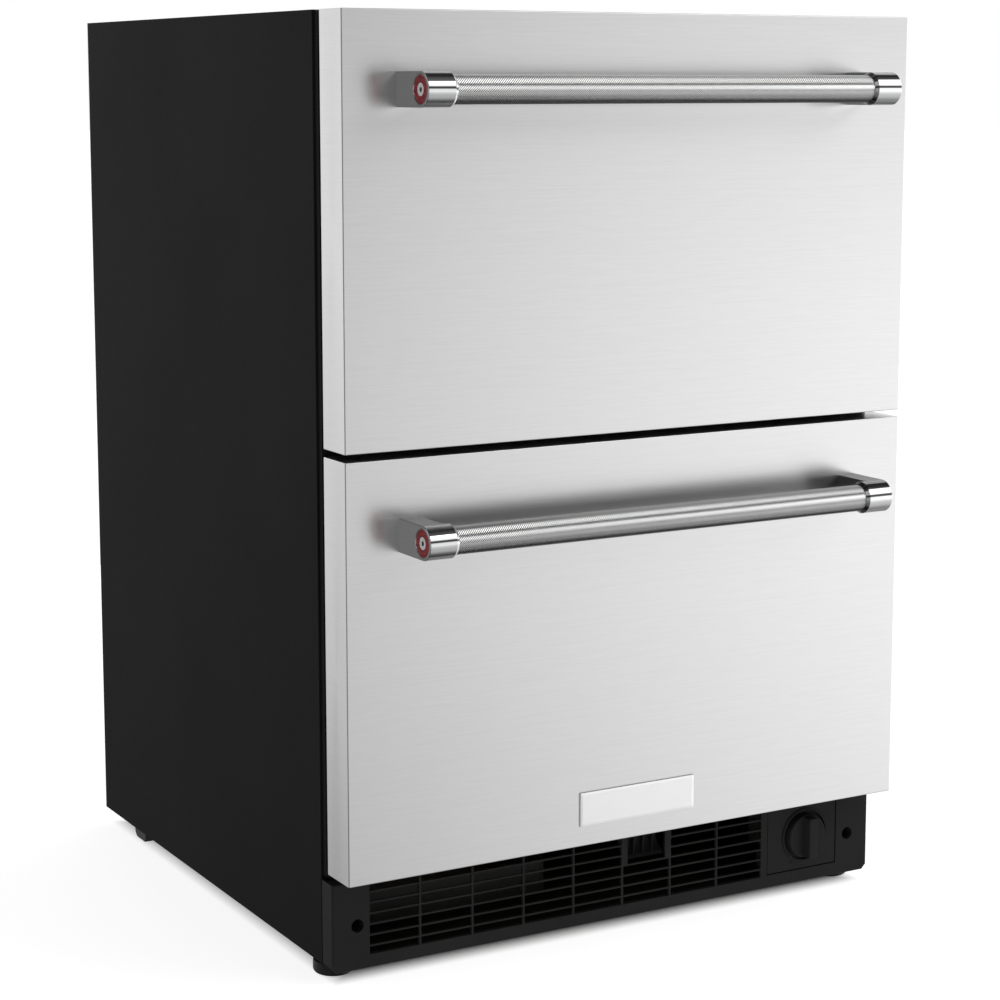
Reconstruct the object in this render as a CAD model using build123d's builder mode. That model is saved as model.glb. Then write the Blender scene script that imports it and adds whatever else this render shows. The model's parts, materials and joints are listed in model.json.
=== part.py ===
from build123d import *
import math
import os

# Under-counter refrigerator with two full-width drawers, in millimetres.
#
# Frame: +X to the right, +Y to the back, +Z up, seen by a person facing the drawers. The
# origin is on the floor, under the middle of the overall box. Depths ("deep") are counted
# from the plane of the stainless drawer faces towards the back, so a handle has a negative
# depth.

os.makedirs("parts", exist_ok=True)

# ---------------------------------------------------------------- driving dimensions
overall_width = 606.0
overall_height = 872.7
body_depth = 614.5            # drawer faces to the rear panel
cabinet_bottom = 15.0         # the feet hold the cabinet this far off the floor
half_width = overall_width / 2

# drawer fronts
front_height = 381.4
front_gap = 6.7
front_thickness = 42.4
front_sheet = 1.0
upper_front_top = overall_height
upper_front_bottom = upper_front_top - front_height
lower_front_top = upper_front_bottom - front_gap
lower_front_bottom = lower_front_top - front_height

# handles
handle_half_length = 250.7
handle_below_top = 68.1       # drawer top edge to the bar's axis
handle_stand_off = 43.5       # drawer face to the bar's axis
handle_end_radius = 15.25
handle_bar_radius = 12.7
handle_post_width = 20.5
handle_end_length = 29.7      # post and ferrule together, along the bar
handle_spigot = 13.0          # how far the bar goes into each end
handle_reach = handle_stand_off + handle_end_radius

# cabinet shell
sheet = 1.0
cabinet_front = 57.0          # depth of the wrapper's front edge
frame_front = 50.0            # depth of the face the gaskets close on
cabinet_back = body_depth - sheet
shell_inside = half_width - sheet

# compartments, inside the liners
liner_wall = 2.0
liner_half_width = 260.0
liner_back = 566.0
upper_floor = 513.0
upper_ceiling = 832.0
lower_floor = 133.0
lower_ceiling = 463.0
step_depth = 345.0            # the lower compartment is shallow below the step
step_height = 327.0
foam_bottom = 97.0
machine_front = 382.0         # the machine space is tall behind this depth
machine_ceiling = 290.0

# drawer slides
slide_length = 430.0
slide_start = 62.0
slide_sheet = 1.2
upper_slide_height = 640.0
lower_slide_height = 372.0

# drawer boxes
box_half_width = 247.5
box_wall = 2.5
box_front = 58.0
box_back = 490.0
box_rim = 4.5

# toe grille
grille_front = 35.0
grille_top = 95.0
grille_bottom = 11.4
grille_wall = 3.0
grille_screw_x = 277.5
grille_screw_z = 53.2

# temperature dial
dial_x = 224.0
dial_z = 60.0
dial_shaft_radius = 3.0

# feet
foot_x = 284.0
foot_depth = 73.0
foot_radius = 19.0
foot_stem_radius = 5.0

front_y = handle_reach - (body_depth + handle_reach) / 2


# ---------------------------------------------------------------- helpers
def deep(depth):
    """Y of a point this far behind the drawer faces."""
    return front_y + depth


def across(depth):
    """Plane at a depth, drawn in X and Z; extruding by a positive amount comes forward."""
    return Plane.XZ.offset(-deep(depth))


def beside(x):
    """Plane at an X, drawn in Y and Z; extruding by a positive amount goes towards +X."""
    return Plane.YZ.offset(x)


def level(z):
    """Plane at a height, drawn in X and Y; extruding by a positive amount goes up."""
    return Plane.XY.offset(z)


def block(x0, x1, depth0, depth1, z0, z1, mode=Mode.ADD):
    """Box between two X values, two depths and two heights, in the part being built."""
    with Locations(((x0 + x1) / 2, deep((depth0 + depth1) / 2), (z0 + z1) / 2)):
        Box(abs(x1 - x0), depth1 - depth0, z1 - z0, mode=mode)


def save(piece, name):
    """Label a finished piece and write it under its own name."""
    piece.part.label = name
    export_step(piece.part, f"parts/{name}.step")


# ---------------------------------------------------------------- cabinet shell
bracket_hole_x = 270.0
bracket_hole_depth = 85.0
bracket_hole_radius = 2.6
bracket_relief_radius = 5.2   # room for the bracket screws' points in the foam
bracket_relief_depth = 20.0
side_flange = 12.0
sheet_edge_round = 0.8


def side_panel(hand):
    """Painted steel side, with its front edge folded in over the front frame's back."""
    with BuildPart() as panel:
        block(hand * shell_inside, hand * half_width, cabinet_front, cabinet_back,
              cabinet_bottom, overall_height - sheet)
        block(hand * (half_width - side_flange), hand * shell_inside, cabinet_front,
              cabinet_front + sheet, cabinet_bottom, overall_height - sheet)
        corner = (hand * half_width, deep(cabinet_front), overall_height / 2)
        fillet(panel.edges().filter_by(Axis.Z).sort_by_distance(corner)[0], radius=sheet_edge_round)
    return panel


for hand, side_name in ((-1, "left"), (1, "right")):
    save(side_panel(hand), f"cabinet_side_{side_name}")

with BuildPart() as cabinet_top:
    block(-half_width, half_width, cabinet_front, body_depth, overall_height - sheet, overall_height)
    with Locations((0, deep(bracket_hole_depth), overall_height)):
        with GridLocations(2 * bracket_hole_x, 0, 2, 1):
            Hole(radius=bracket_hole_radius)
    fillet(cabinet_top.faces().sort_by(Axis.Z)[-1].outer_wire().edges(), radius=0.75 * sheet_edge_round)
save(cabinet_top, "cabinet_top")

with BuildPart() as cabinet_back_panel:
    block(-half_width, half_width, cabinet_back, body_depth, machine_ceiling - 2.0,
          overall_height - sheet)
save(cabinet_back_panel, "cabinet_back")

# Base pan: floor sheet with turned-up edges, two front ears for the grille screws and the
# threaded seats of the front feet.
pan_sheet = 1.5
pan_half_width = 301.5
pan_front = 58.5
pan_back = 606.0
pan_flange_height = 26.0
pan_rear_flange_height = 45.0
ear_half_width = 16.0
ear_top = 92.0
seat_radius = 9.0
seat_height = 9.0
stem_clearance = 0.05
ear_hole_radius = 1.9
pan_top = cabinet_bottom + pan_sheet

with BuildPart() as base_pan:
    block(-pan_half_width, pan_half_width, pan_front, pan_back, cabinet_bottom, pan_top)
    for hand in (-1, 1):
        block(hand * (pan_half_width - pan_sheet), hand * pan_half_width, pan_front, pan_back,
              pan_top, pan_top + pan_flange_height)
        block(hand * (grille_screw_x - ear_half_width), hand * (grille_screw_x + ear_half_width),
              pan_front, pan_front + pan_sheet, pan_top, ear_top)
        with Locations((hand * foot_x, deep(foot_depth), pan_top)):
            Cylinder(seat_radius, seat_height, align=(Align.CENTER, Align.CENTER, Align.MIN))
    block(-pan_half_width, pan_half_width, pan_back - pan_sheet, pan_back, pan_top,
          pan_top + pan_rear_flange_height)
    with Locations((0, deep(foot_depth), pan_top + seat_height)):
        with GridLocations(2 * foot_x, 0, 2, 1):
            Hole(radius=foot_stem_radius + stem_clearance)
    with BuildSketch(across(pan_front + pan_sheet)):
        with Locations((-grille_screw_x, grille_screw_z), (grille_screw_x, grille_screw_z)):
            Circle(ear_hole_radius)
    extrude(amount=pan_sheet, mode=Mode.SUBTRACT)
save(base_pan, "base_pan")

# ---------------------------------------------------------------- insulated body
corner_round = 14.0


def upper_cavity(grow):
    """The upper compartment's space, grown all round except at its open front."""
    with BuildPart() as cavity:
        with BuildSketch(across(liner_back + grow)):
            with Locations((0, (upper_floor + upper_ceiling) / 2)):
                RectangleRounded(2 * (liner_half_width + grow),
                                 upper_ceiling - upper_floor + 2 * grow, corner_round + grow)
        extrude(amount=liner_back + grow - cabinet_front)
    return cavity.part


def lower_cavity(grow):
    """The lower compartment's space, with the step over the machine space."""
    with BuildPart() as cavity:
        with BuildSketch(beside(-liner_half_width - grow)):
            with BuildLine():
                Polyline((deep(cabinet_front), lower_floor - grow),
                         (deep(step_depth + grow), lower_floor - grow),
                         (deep(step_depth + grow), step_height - grow),
                         (deep(liner_back + grow), step_height - grow),
                         (deep(liner_back + grow), lower_ceiling + grow),
                         (deep(cabinet_front), lower_ceiling + grow), close=True)
            make_face()
        extrude(amount=2 * (liner_half_width + grow))
        along = cavity.edges().filter_by(Axis.Y)
        fillet(along.filter_by(lambda edge: edge.center().Z < lower_floor + 1), radius=corner_round + grow)
    return cavity.part


with BuildPart() as insulation:
    with BuildSketch(beside(-shell_inside)):
        with BuildLine():
            Polyline((deep(cabinet_front + sheet), foam_bottom),
                     (deep(machine_front), foam_bottom),
                     (deep(machine_front), machine_ceiling),
                     (deep(cabinet_back), machine_ceiling),
                     (deep(cabinet_back), overall_height - sheet),
                     (deep(cabinet_front + sheet), overall_height - sheet), close=True)
        make_face()
    extrude(amount=2 * shell_inside)
    add(upper_cavity(liner_wall), mode=Mode.SUBTRACT)
    add(lower_cavity(liner_wall), mode=Mode.SUBTRACT)
    with Locations((0, deep(bracket_hole_depth), overall_height - sheet)):
        with GridLocations(2 * bracket_hole_x, 0, 2, 1):
            Hole(radius=bracket_relief_radius, depth=bracket_relief_depth)
save(insulation, "insulation_foam")

# The liner is one moulding: both compartments and the flange between and around them.
liner_flange = 20.0

with BuildPart() as cabinet_liner:
    block(-liner_half_width - liner_flange, liner_half_width + liner_flange, cabinet_front,
          cabinet_front + sheet, lower_floor - liner_flange, upper_ceiling + liner_flange)
    add(upper_cavity(liner_wall))
    add(lower_cavity(liner_wall))
    add(upper_cavity(0), mode=Mode.SUBTRACT)
    add(lower_cavity(0), mode=Mode.SUBTRACT)
save(cabinet_liner, "cabinet_liner")

# Front frame: the flat face round both openings that the magnetic gaskets close on.
frame_half_width = 301.0
frame_top = overall_height - 0.5
frame_corner = 3.0

with BuildPart() as front_frame:
    with BuildSketch(across(cabinet_front)):
        with Locations((0, (foam_bottom + frame_top) / 2)):
            RectangleRounded(2 * frame_half_width, frame_top - foam_bottom, frame_corner)
        for floor, ceiling in ((upper_floor, upper_ceiling), (lower_floor, lower_ceiling)):
            with Locations((0, (floor + ceiling) / 2)):
                RectangleRounded(2 * liner_half_width, ceiling - floor, corner_round, mode=Mode.SUBTRACT)
    extrude(amount=cabinet_front - frame_front)
save(front_frame, "front_frame")

# ---------------------------------------------------------------- cooling parts
evaporator_cover_front = 500.0
evaporator_fan_z = 775.0
evaporator_fan_radius = 52.0
evaporator_fan_clearance = 4.0
evaporator_half_width = 180.0
duct_half_width = 215.0
duct_wall = 2.5
fan_hub_radius = 16.0
fan_bore_clearance = 0.05
fan_shaft_radius = 3.0
blade_half_thickness = 0.9
blade_pitch = 52.0            # angle of a blade to the fan's axis
fan_blades = 7
blade_corner = 5.0
blade_root = 3.0              # how far a blade runs into the hub
shaft_hole_share = 0.7        # part of the hub's thickness that the shaft hole takes
motor_edge_round = 2.5
motor_arm_width = 9.0
motor_arm_thickness = 3.0
motor_arm_inset = 4.0         # the arms' distance from the motor's rear face


def fan_wheel(x, z, depth, radius, thickness, blades, blade_angle):
    """Axial fan wheel on a hub with a shaft hole, its axis along Y."""
    with BuildPart() as wheel:
        with BuildSketch(across(depth + thickness)):
            with Locations((x, z)):
                Circle(fan_hub_radius)
        extrude(amount=thickness)
        reach = radius - fan_hub_radius + blade_root
        pitch = math.radians(blade_angle)
        chord = (thickness - 2 * blade_half_thickness) / math.cos(pitch)
        backward = Vector(0, 1, 0)
        for number in range(blades):
            turn = 2 * math.pi * number / blades
            outward = Vector(math.cos(turn), 0, math.sin(turn))
            middle = Vector(x, deep(depth + thickness / 2), z) + outward * (radius - reach / 2)
            normal = outward.cross(backward) * math.cos(pitch) + backward * math.sin(pitch)
            with BuildSketch(Plane(origin=middle, x_dir=outward, z_dir=normal)):
                RectangleRounded(reach, chord, blade_corner)
            extrude(amount=blade_half_thickness, both=True)
        with BuildSketch(across(depth + thickness)):
            with Locations((x, z)):
                Circle(fan_shaft_radius + fan_bore_clearance)
        extrude(amount=thickness * shaft_hole_share, mode=Mode.SUBTRACT)
    return wheel


def fan_motor(x, z, depth, radius, length, shaft_reach, arm_reach):
    """Round fan motor with three radial mounting arms and a shaft that comes forward."""
    with BuildPart() as motor:
        with BuildSketch(across(depth + length)):
            with Locations((x, z)):
                Circle(radius)
        extrude(amount=length)
        fillet(motor.edges().filter_by(GeomType.CIRCLE), radius=motor_edge_round)
        with BuildSketch(across(depth)):
            with Locations((x, z)):
                Circle(fan_shaft_radius)
        extrude(amount=shaft_reach)
        for turn in (90, 210, 330):
            with BuildSketch(across(depth + length - motor_arm_inset)):
                with Locations((x, z)):
                    with Locations(Location((0, 0, 0), (0, 0, turn))):
                        with Locations(((radius + arm_reach) / 2 - 1.0, 0)):
                            Rectangle(arm_reach - radius + 2.0, motor_arm_width)
            extrude(amount=motor_arm_thickness)
    return motor


# Cover over the evaporator: fan opening with a guard cross, and a row of return slots.
duct_bottom = 521.0
duct_corner = 8.0
guard_opening_radius = 50.0
guard_centre_radius = 20.0
guard_bar = 3.0
return_slot_z = 543.0
return_slot_pitch = 28.0
return_slot_count = 12
return_slot_length = 22.0
return_slot_height = 5.0

with BuildPart() as evaporator_cover:
    block(-duct_half_width, duct_half_width, evaporator_cover_front, liner_back, duct_bottom,
          upper_ceiling)
    fillet(evaporator_cover.faces().sort_by(Axis.Y)[0].edges().filter_by(Axis.Z), radius=duct_corner)
    block(-duct_half_width + duct_wall, duct_half_width - duct_wall,
          evaporator_cover_front + duct_wall, liner_back, duct_bottom + duct_wall,
          upper_ceiling - duct_wall, mode=Mode.SUBTRACT)
    with BuildSketch(across(evaporator_cover_front + duct_wall)):
        with Locations((0, evaporator_fan_z)):
            Circle(guard_opening_radius)
            Circle(guard_centre_radius, mode=Mode.SUBTRACT)
            with PolarLocations(0, 4):
                Rectangle(2 * evaporator_fan_radius, guard_bar, mode=Mode.SUBTRACT)
        with Locations((0, return_slot_z)):
            with GridLocations(return_slot_pitch, 0, return_slot_count, 1):
                SlotOverall(return_slot_length, return_slot_height)
    extrude(amount=duct_wall, mode=Mode.SUBTRACT)
save(evaporator_cover, "evaporator_cover")

# Evaporator: a block of upright fins on three passes of tube.
fin_count = 30
fin_thickness = 1.0
coil_tube_radius = 4.0
evaporator_bottom = 560.0
evaporator_top = 700.0
evaporator_front_depth = 514.0
evaporator_back_depth = 556.0
evaporator_tube_rows = 3
evaporator_first_tube = 25.0  # height of the lowest tube over the fins' lower edge
evaporator_tube_pitch = 45.0
tube_overhang = 8.0           # the tubes run this far past the outer fins


def fin_block(x0, x1, depth0, depth1, z0, z1, count, tube_heights, tube_radius):
    """Fins side by side across X, carried by straight tubes with headers at both ends."""
    with BuildPart() as coil:
        pitch = (x1 - x0 - fin_thickness) / (count - 1)
        for number in range(count):
            left = x0 + number * pitch
            block(left, left + fin_thickness, depth0, depth1, z0, z1)
        for height in tube_heights:
            with BuildSketch(beside(x0 - tube_overhang)):
                with Locations((deep((depth0 + depth1) / 2), height)):
                    Circle(tube_radius)
            extrude(amount=x1 - x0 + 2 * tube_overhang)
        for end in (x0 - tube_overhang, x1 + tube_overhang):
            block(end - tube_radius, end + tube_radius, (depth0 + depth1) / 2 - tube_radius,
                  (depth0 + depth1) / 2 + tube_radius, min(tube_heights), max(tube_heights))
    return coil


evaporator_tubes = [evaporator_bottom + evaporator_first_tube + evaporator_tube_pitch * row
                    for row in range(evaporator_tube_rows)]
evaporator = fin_block(-evaporator_half_width, evaporator_half_width, evaporator_front_depth,
                       evaporator_back_depth, evaporator_bottom, evaporator_top, fin_count,
                       evaporator_tubes, coil_tube_radius)
save(evaporator, "evaporator")

evaporator_fan_depth = 508.0
evaporator_fan_thickness = 14.0
evaporator_motor_depth = 526.0
evaporator_motor_radius = 20.0
evaporator_motor_length = 30.0
evaporator_arm_reach = 54.0
fan_shaft_reach = 12.0        # shaft in front of the motor, into the hub

evaporator_fan = fan_wheel(0, evaporator_fan_z, evaporator_fan_depth,
                           evaporator_fan_radius - evaporator_fan_clearance,
                           evaporator_fan_thickness, fan_blades, blade_pitch)
save(evaporator_fan, "evaporator_fan")
evaporator_motor = fan_motor(0, evaporator_fan_z, evaporator_motor_depth, evaporator_motor_radius,
                             evaporator_motor_length, fan_shaft_reach, evaporator_arm_reach)
save(evaporator_motor, "evaporator_fan_motor")

# Compressor: a welded steel pot on a foot plate with four grommets, and its relay box.
compressor_x = -140.0
compressor_depth = 500.0
compressor_radius = 74.0
compressor_foot = 30.0
compressor_foot_x = 81.0
compressor_foot_y = 48.0
compressor_body_top = 196.0
compressor_dome_round = 46.0
compressor_base_round = 20.0
foot_plate_thickness = 3.0
foot_plate_margin = 12.0      # foot plate past the grommets' centres, and its corners' radius
grommet_radius = 9.0
relay_inset = 6.0
relay_reach = 22.0
relay_half_depth = 28.0
relay_bottom = 90.0
relay_top = 150.0

with BuildPart() as compressor:
    with Locations((compressor_x, deep(compressor_depth), compressor_foot + foot_plate_thickness)):
        Cylinder(compressor_radius, compressor_body_top - compressor_foot - foot_plate_thickness,
                 align=(Align.CENTER, Align.CENTER, Align.MIN))
    rims = compressor.edges().filter_by(GeomType.CIRCLE).sort_by(Axis.Z)
    fillet(rims[-1], radius=compressor_dome_round)
    fillet(rims[0], radius=compressor_base_round)
    with BuildSketch(level(compressor_foot)):
        with Locations((compressor_x, deep(compressor_depth))):
            RectangleRounded(2 * (compressor_foot_x + foot_plate_margin),
                             2 * (compressor_foot_y + foot_plate_margin), foot_plate_margin)
    extrude(amount=foot_plate_thickness)
    with BuildSketch(level(pan_top)):
        with Locations((compressor_x, deep(compressor_depth))):
            with GridLocations(2 * compressor_foot_x, 2 * compressor_foot_y, 2, 2):
                Circle(grommet_radius)
    extrude(amount=compressor_foot - pan_top)
    block(compressor_x + compressor_radius - relay_inset,
          compressor_x + compressor_radius + relay_reach, compressor_depth - relay_half_depth,
          compressor_depth + relay_half_depth, relay_bottom, relay_top)
save(compressor, "compressor")

# Condenser, its fan in a shroud plate behind it, and the motor on the shroud's arms.
condenser_left = 20.0
condenser_right = 270.0
condenser_front = 392.0
condenser_back = 436.0
condenser_bottom = 40.0
condenser_top = 240.0
condenser_fan_x = (condenser_left + condenser_right) / 2
condenser_fan_z = (condenser_bottom + condenser_top) / 2
condenser_fan_radius = 76.0
condenser_fan_clearance = 4.0
condenser_fin_count = 26
condenser_tube_rows = 5
condenser_first_tube = 20.0
condenser_tube_pitch = 40.0
condenser_fan_depth = 450.0
condenser_fan_thickness = 16.0
condenser_motor_depth = 471.0
condenser_motor_radius = 26.0
condenser_motor_length = 40.0
condenser_arm_reach = 78.0
shroud_front = 446.0
shroud_depth = 24.0
shroud_wall = 2.0
shroud_top = 248.0

condenser_tubes = [condenser_bottom + condenser_first_tube + condenser_tube_pitch * row
                   for row in range(condenser_tube_rows)]
condenser = fin_block(condenser_left, condenser_right, condenser_front, condenser_back,
                      condenser_bottom, condenser_top, condenser_fin_count, condenser_tubes,
                      coil_tube_radius)
save(condenser, "condenser")

with BuildPart() as condenser_shroud:
    block(condenser_left, condenser_right, shroud_front, shroud_front + shroud_wall, pan_top,
          shroud_top)
    with BuildSketch(across(shroud_front + shroud_depth)):
        with Locations((condenser_fan_x, condenser_fan_z)):
            Circle(condenser_fan_radius + shroud_wall)
    extrude(amount=shroud_depth)
    with BuildSketch(across(shroud_front + shroud_depth)):
        with Locations((condenser_fan_x, condenser_fan_z)):
            Circle(condenser_fan_radius)
    extrude(amount=shroud_depth, mode=Mode.SUBTRACT)
save(condenser_shroud, "condenser_shroud")

condenser_fan = fan_wheel(condenser_fan_x, condenser_fan_z, condenser_fan_depth,
                          condenser_fan_radius - condenser_fan_clearance,
                          condenser_fan_thickness, fan_blades, blade_pitch)
save(condenser_fan, "condenser_fan")
condenser_motor = fan_motor(condenser_fan_x, condenser_fan_z, condenser_motor_depth,
                            condenser_motor_radius, condenser_motor_length, fan_shaft_reach,
                            condenser_arm_reach)
save(condenser_motor, "condenser_fan_motor")

# Defrost water pan, open at the top, under the front of the insulated body.
drain_pan_wall = 2.0
drain_pan_left = -250.0
drain_pan_right = -20.0
drain_pan_front = 130.0
drain_pan_back = 360.0
drain_pan_top = 46.0
drain_pan_corner = 12.0

with BuildPart() as drain_pan:
    block(drain_pan_left, drain_pan_right, drain_pan_front, drain_pan_back, pan_top, drain_pan_top)
    fillet(drain_pan.edges().filter_by(Axis.Z), radius=drain_pan_corner)
    offset(amount=-drain_pan_wall, openings=drain_pan.faces().sort_by(Axis.Z)[-1], mode=Mode.REPLACE)
save(drain_pan, "drain_pan")

# Filter drier: a copper cartridge with drawn-down ends, standing beside the compressor. It is
# brazed into the pipework, so it belongs to that node.
drier_x = -20.0
drier_depth = 560.0
drier_bottom = 70.0
drier_top = 190.0
drier_radius = 10.0
drier_neck_radius = 3.0
drier_neck = 14.0             # length of the narrow end
drier_shoulder = 24.0         # from the end to the full radius


def pipe(points, bend, radius):
    """Round pipe along straight runs joined by bends of one radius."""
    with BuildPart() as tube:
        with BuildLine() as route:
            FilletPolyline(*points, radius=bend)
        with BuildSketch(Plane(origin=route.line @ 0, z_dir=route.line % 0)):
            Circle(radius)
        sweep(path=route.line)
    return tube.part


# Copper pipes: hot gas to the condenser, liquid to the drier, the capillary up into the foam,
# and the suction pipe from the evaporator back down to the compressor.
pipe_radius = 3.0
pipe_bend = 14.0
thin_pipe_radius = 2.0
thin_pipe_bend = 8.0
hot_gas_z = 120.0
behind_all = 598.0
over_shroud = 266.0
coil_depth = (condenser_front + condenser_back) / 2
under_coil = 44.0
suction_x = -240.0
suction_z = 140.0
capillary_step = 40.0         # the capillary rises this much, then runs this far to the left

hot_gas_route = [(compressor_x, deep(compressor_depth + compressor_radius), hot_gas_z),
                 (compressor_x, deep(behind_all), hot_gas_z),
                 (condenser_right + tube_overhang, deep(behind_all), hot_gas_z),
                 (condenser_right + tube_overhang, deep(behind_all), over_shroud),
                 (condenser_right + tube_overhang, deep(coil_depth), over_shroud),
                 (condenser_right + tube_overhang, deep(coil_depth), condenser_tubes[-1] + coil_tube_radius)]
liquid_route = [(condenser_left - tube_overhang, deep(coil_depth), condenser_tubes[0] - coil_tube_radius),
                (condenser_left - tube_overhang, deep(coil_depth), under_coil),
                (drier_x, deep(coil_depth), under_coil),
                (drier_x, deep(drier_depth), under_coil),
                (drier_x, deep(drier_depth), drier_bottom)]
capillary_route = [(drier_x, deep(drier_depth), drier_top),
                   (drier_x, deep(drier_depth), drier_top + capillary_step),
                   (drier_x - capillary_step, deep(drier_depth), drier_top + capillary_step),
                   (drier_x - capillary_step, deep(drier_depth), machine_ceiling)]
suction_route = [(suction_x, deep(compressor_depth), machine_ceiling),
                 (suction_x, deep(compressor_depth), suction_z),
                 (compressor_x - compressor_radius, deep(compressor_depth), suction_z)]

with BuildPart() as refrigerant_pipes:
    with BuildSketch(across(drier_depth)):
        with BuildLine():
            Polyline((drier_x, drier_bottom), (drier_x + drier_neck_radius, drier_bottom),
                     (drier_x + drier_neck_radius, drier_bottom + drier_neck),
                     (drier_x + drier_radius, drier_bottom + drier_shoulder),
                     (drier_x + drier_radius, drier_top - drier_shoulder),
                     (drier_x + drier_neck_radius, drier_top - drier_neck),
                     (drier_x + drier_neck_radius, drier_top), (drier_x, drier_top), close=True)
        make_face()
    revolve(axis=Axis((drier_x, deep(drier_depth), 0), (0, 0, 1)))
    add(pipe(hot_gas_route, pipe_bend, pipe_radius))
    add(pipe(liquid_route, thin_pipe_bend, thin_pipe_radius))
    add(pipe(capillary_route, thin_pipe_bend, thin_pipe_radius))
    add(pipe(suction_route, pipe_bend, pipe_radius))
save(refrigerant_pipes, "refrigerant_pipes")

# Lamp housings under both ceilings, just behind the openings.
lamp_half_width = 60.0
lamp_height = 6.0
lamp_front = 80.0
lamp_back = 102.0
lamp_edge_round = 2.0

with BuildPart() as interior_lamps:
    for ceiling in (upper_ceiling, lower_ceiling):
        block(-lamp_half_width, lamp_half_width, lamp_front, lamp_back, ceiling - lamp_height, ceiling)
    fillet(interior_lamps.edges().filter_by(Axis.X).group_by(Axis.Z)[0], radius=lamp_edge_round)
    fillet(interior_lamps.edges().filter_by(Axis.X).group_by(Axis.Z)[2], radius=lamp_edge_round)
save(interior_lamps, "interior_lamps")

# Machine space cover: louvred sheet set in from the rear face, with the cord inlet's hole.
cover_front = 606.5
cover_half_width = 300.0
cover_bottom = 19.0
cover_top = 286.0
cover_corner = 4.0
louvre_z = 170.0
louvre_columns = (-100.0, 140.0)
louvre_pitch = 14.0
louvre_count = 10
louvre_length = 170.0
louvre_height = 6.0
inlet_x = -255.0
inlet_z = 90.0
inlet_hole_radius = 9.0
inlet_bore_radius = 4.2
inlet_flange_radius = 13.0
inlet_flange = 4.0
inlet_length = 12.0
inlet_fit = 0.05
inlet_edge_round = 1.5

with BuildPart() as rear_cover:
    with BuildSketch(across(cover_front + sheet)):
        with Locations((0, (cover_bottom + cover_top) / 2)):
            RectangleRounded(2 * cover_half_width, cover_top - cover_bottom, cover_corner)
        with Locations(*[(column, louvre_z) for column in louvre_columns]):
            with GridLocations(0, louvre_pitch, 1, louvre_count):
                SlotOverall(louvre_length, louvre_height, mode=Mode.SUBTRACT)
        with Locations((inlet_x, inlet_z)):
            Circle(inlet_hole_radius, mode=Mode.SUBTRACT)
    extrude(amount=sheet)
save(rear_cover, "rear_cover")

with BuildPart() as cord_inlet:
    with BuildSketch(across(cover_front + sheet + inlet_flange)):
        with Locations((inlet_x, inlet_z)):
            Circle(inlet_flange_radius)
    extrude(amount=inlet_flange)
    with BuildSketch(across(cover_front + sheet)):
        with Locations((inlet_x, inlet_z)):
            Circle(inlet_hole_radius - inlet_fit)
    extrude(amount=inlet_length)
    fillet(cord_inlet.edges().filter_by(GeomType.CIRCLE).sort_by(Axis.Y)[-1], radius=inlet_edge_round)
    with BuildSketch(across(cover_front + sheet + inlet_flange)):
        with Locations((inlet_x, inlet_z)):
            Circle(inlet_bore_radius)
    extrude(amount=inlet_flange + inlet_length, mode=Mode.SUBTRACT)
save(cord_inlet, "cord_inlet")

# ---------------------------------------------------------------- toe grille
slot_left = -265.2
slot_right = 170.4
slot_bottom = 24.1
slot_top = 91.0
first_upright = -213.3        # centre of the first upright bar between slots
upright_pitch = 55.0
upright_width = 2.0
upright_count = 7
first_rail = 32.2             # centre of the lowest level bar
rail_pitch = 10.16
rail_thickness = 1.6
rail_count = 6
window_left = 12.5
window_right = 56.0
window_side = 5.0
window_bottom = first_rail + 3 * rail_pitch + rail_thickness / 2
panel_left = 178.0
panel_right = 263.4
panel_bottom = 24.6
panel_top = 92.0
grille_return = 55.5
grille_lip = 50.0
grille_corner = 5.0
grille_edge_round = 2.0
boss_radius = 8.5
boss_bore_radius = 6.25
boss_floor = 2.0
boss_hole_radius = 2.2

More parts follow.
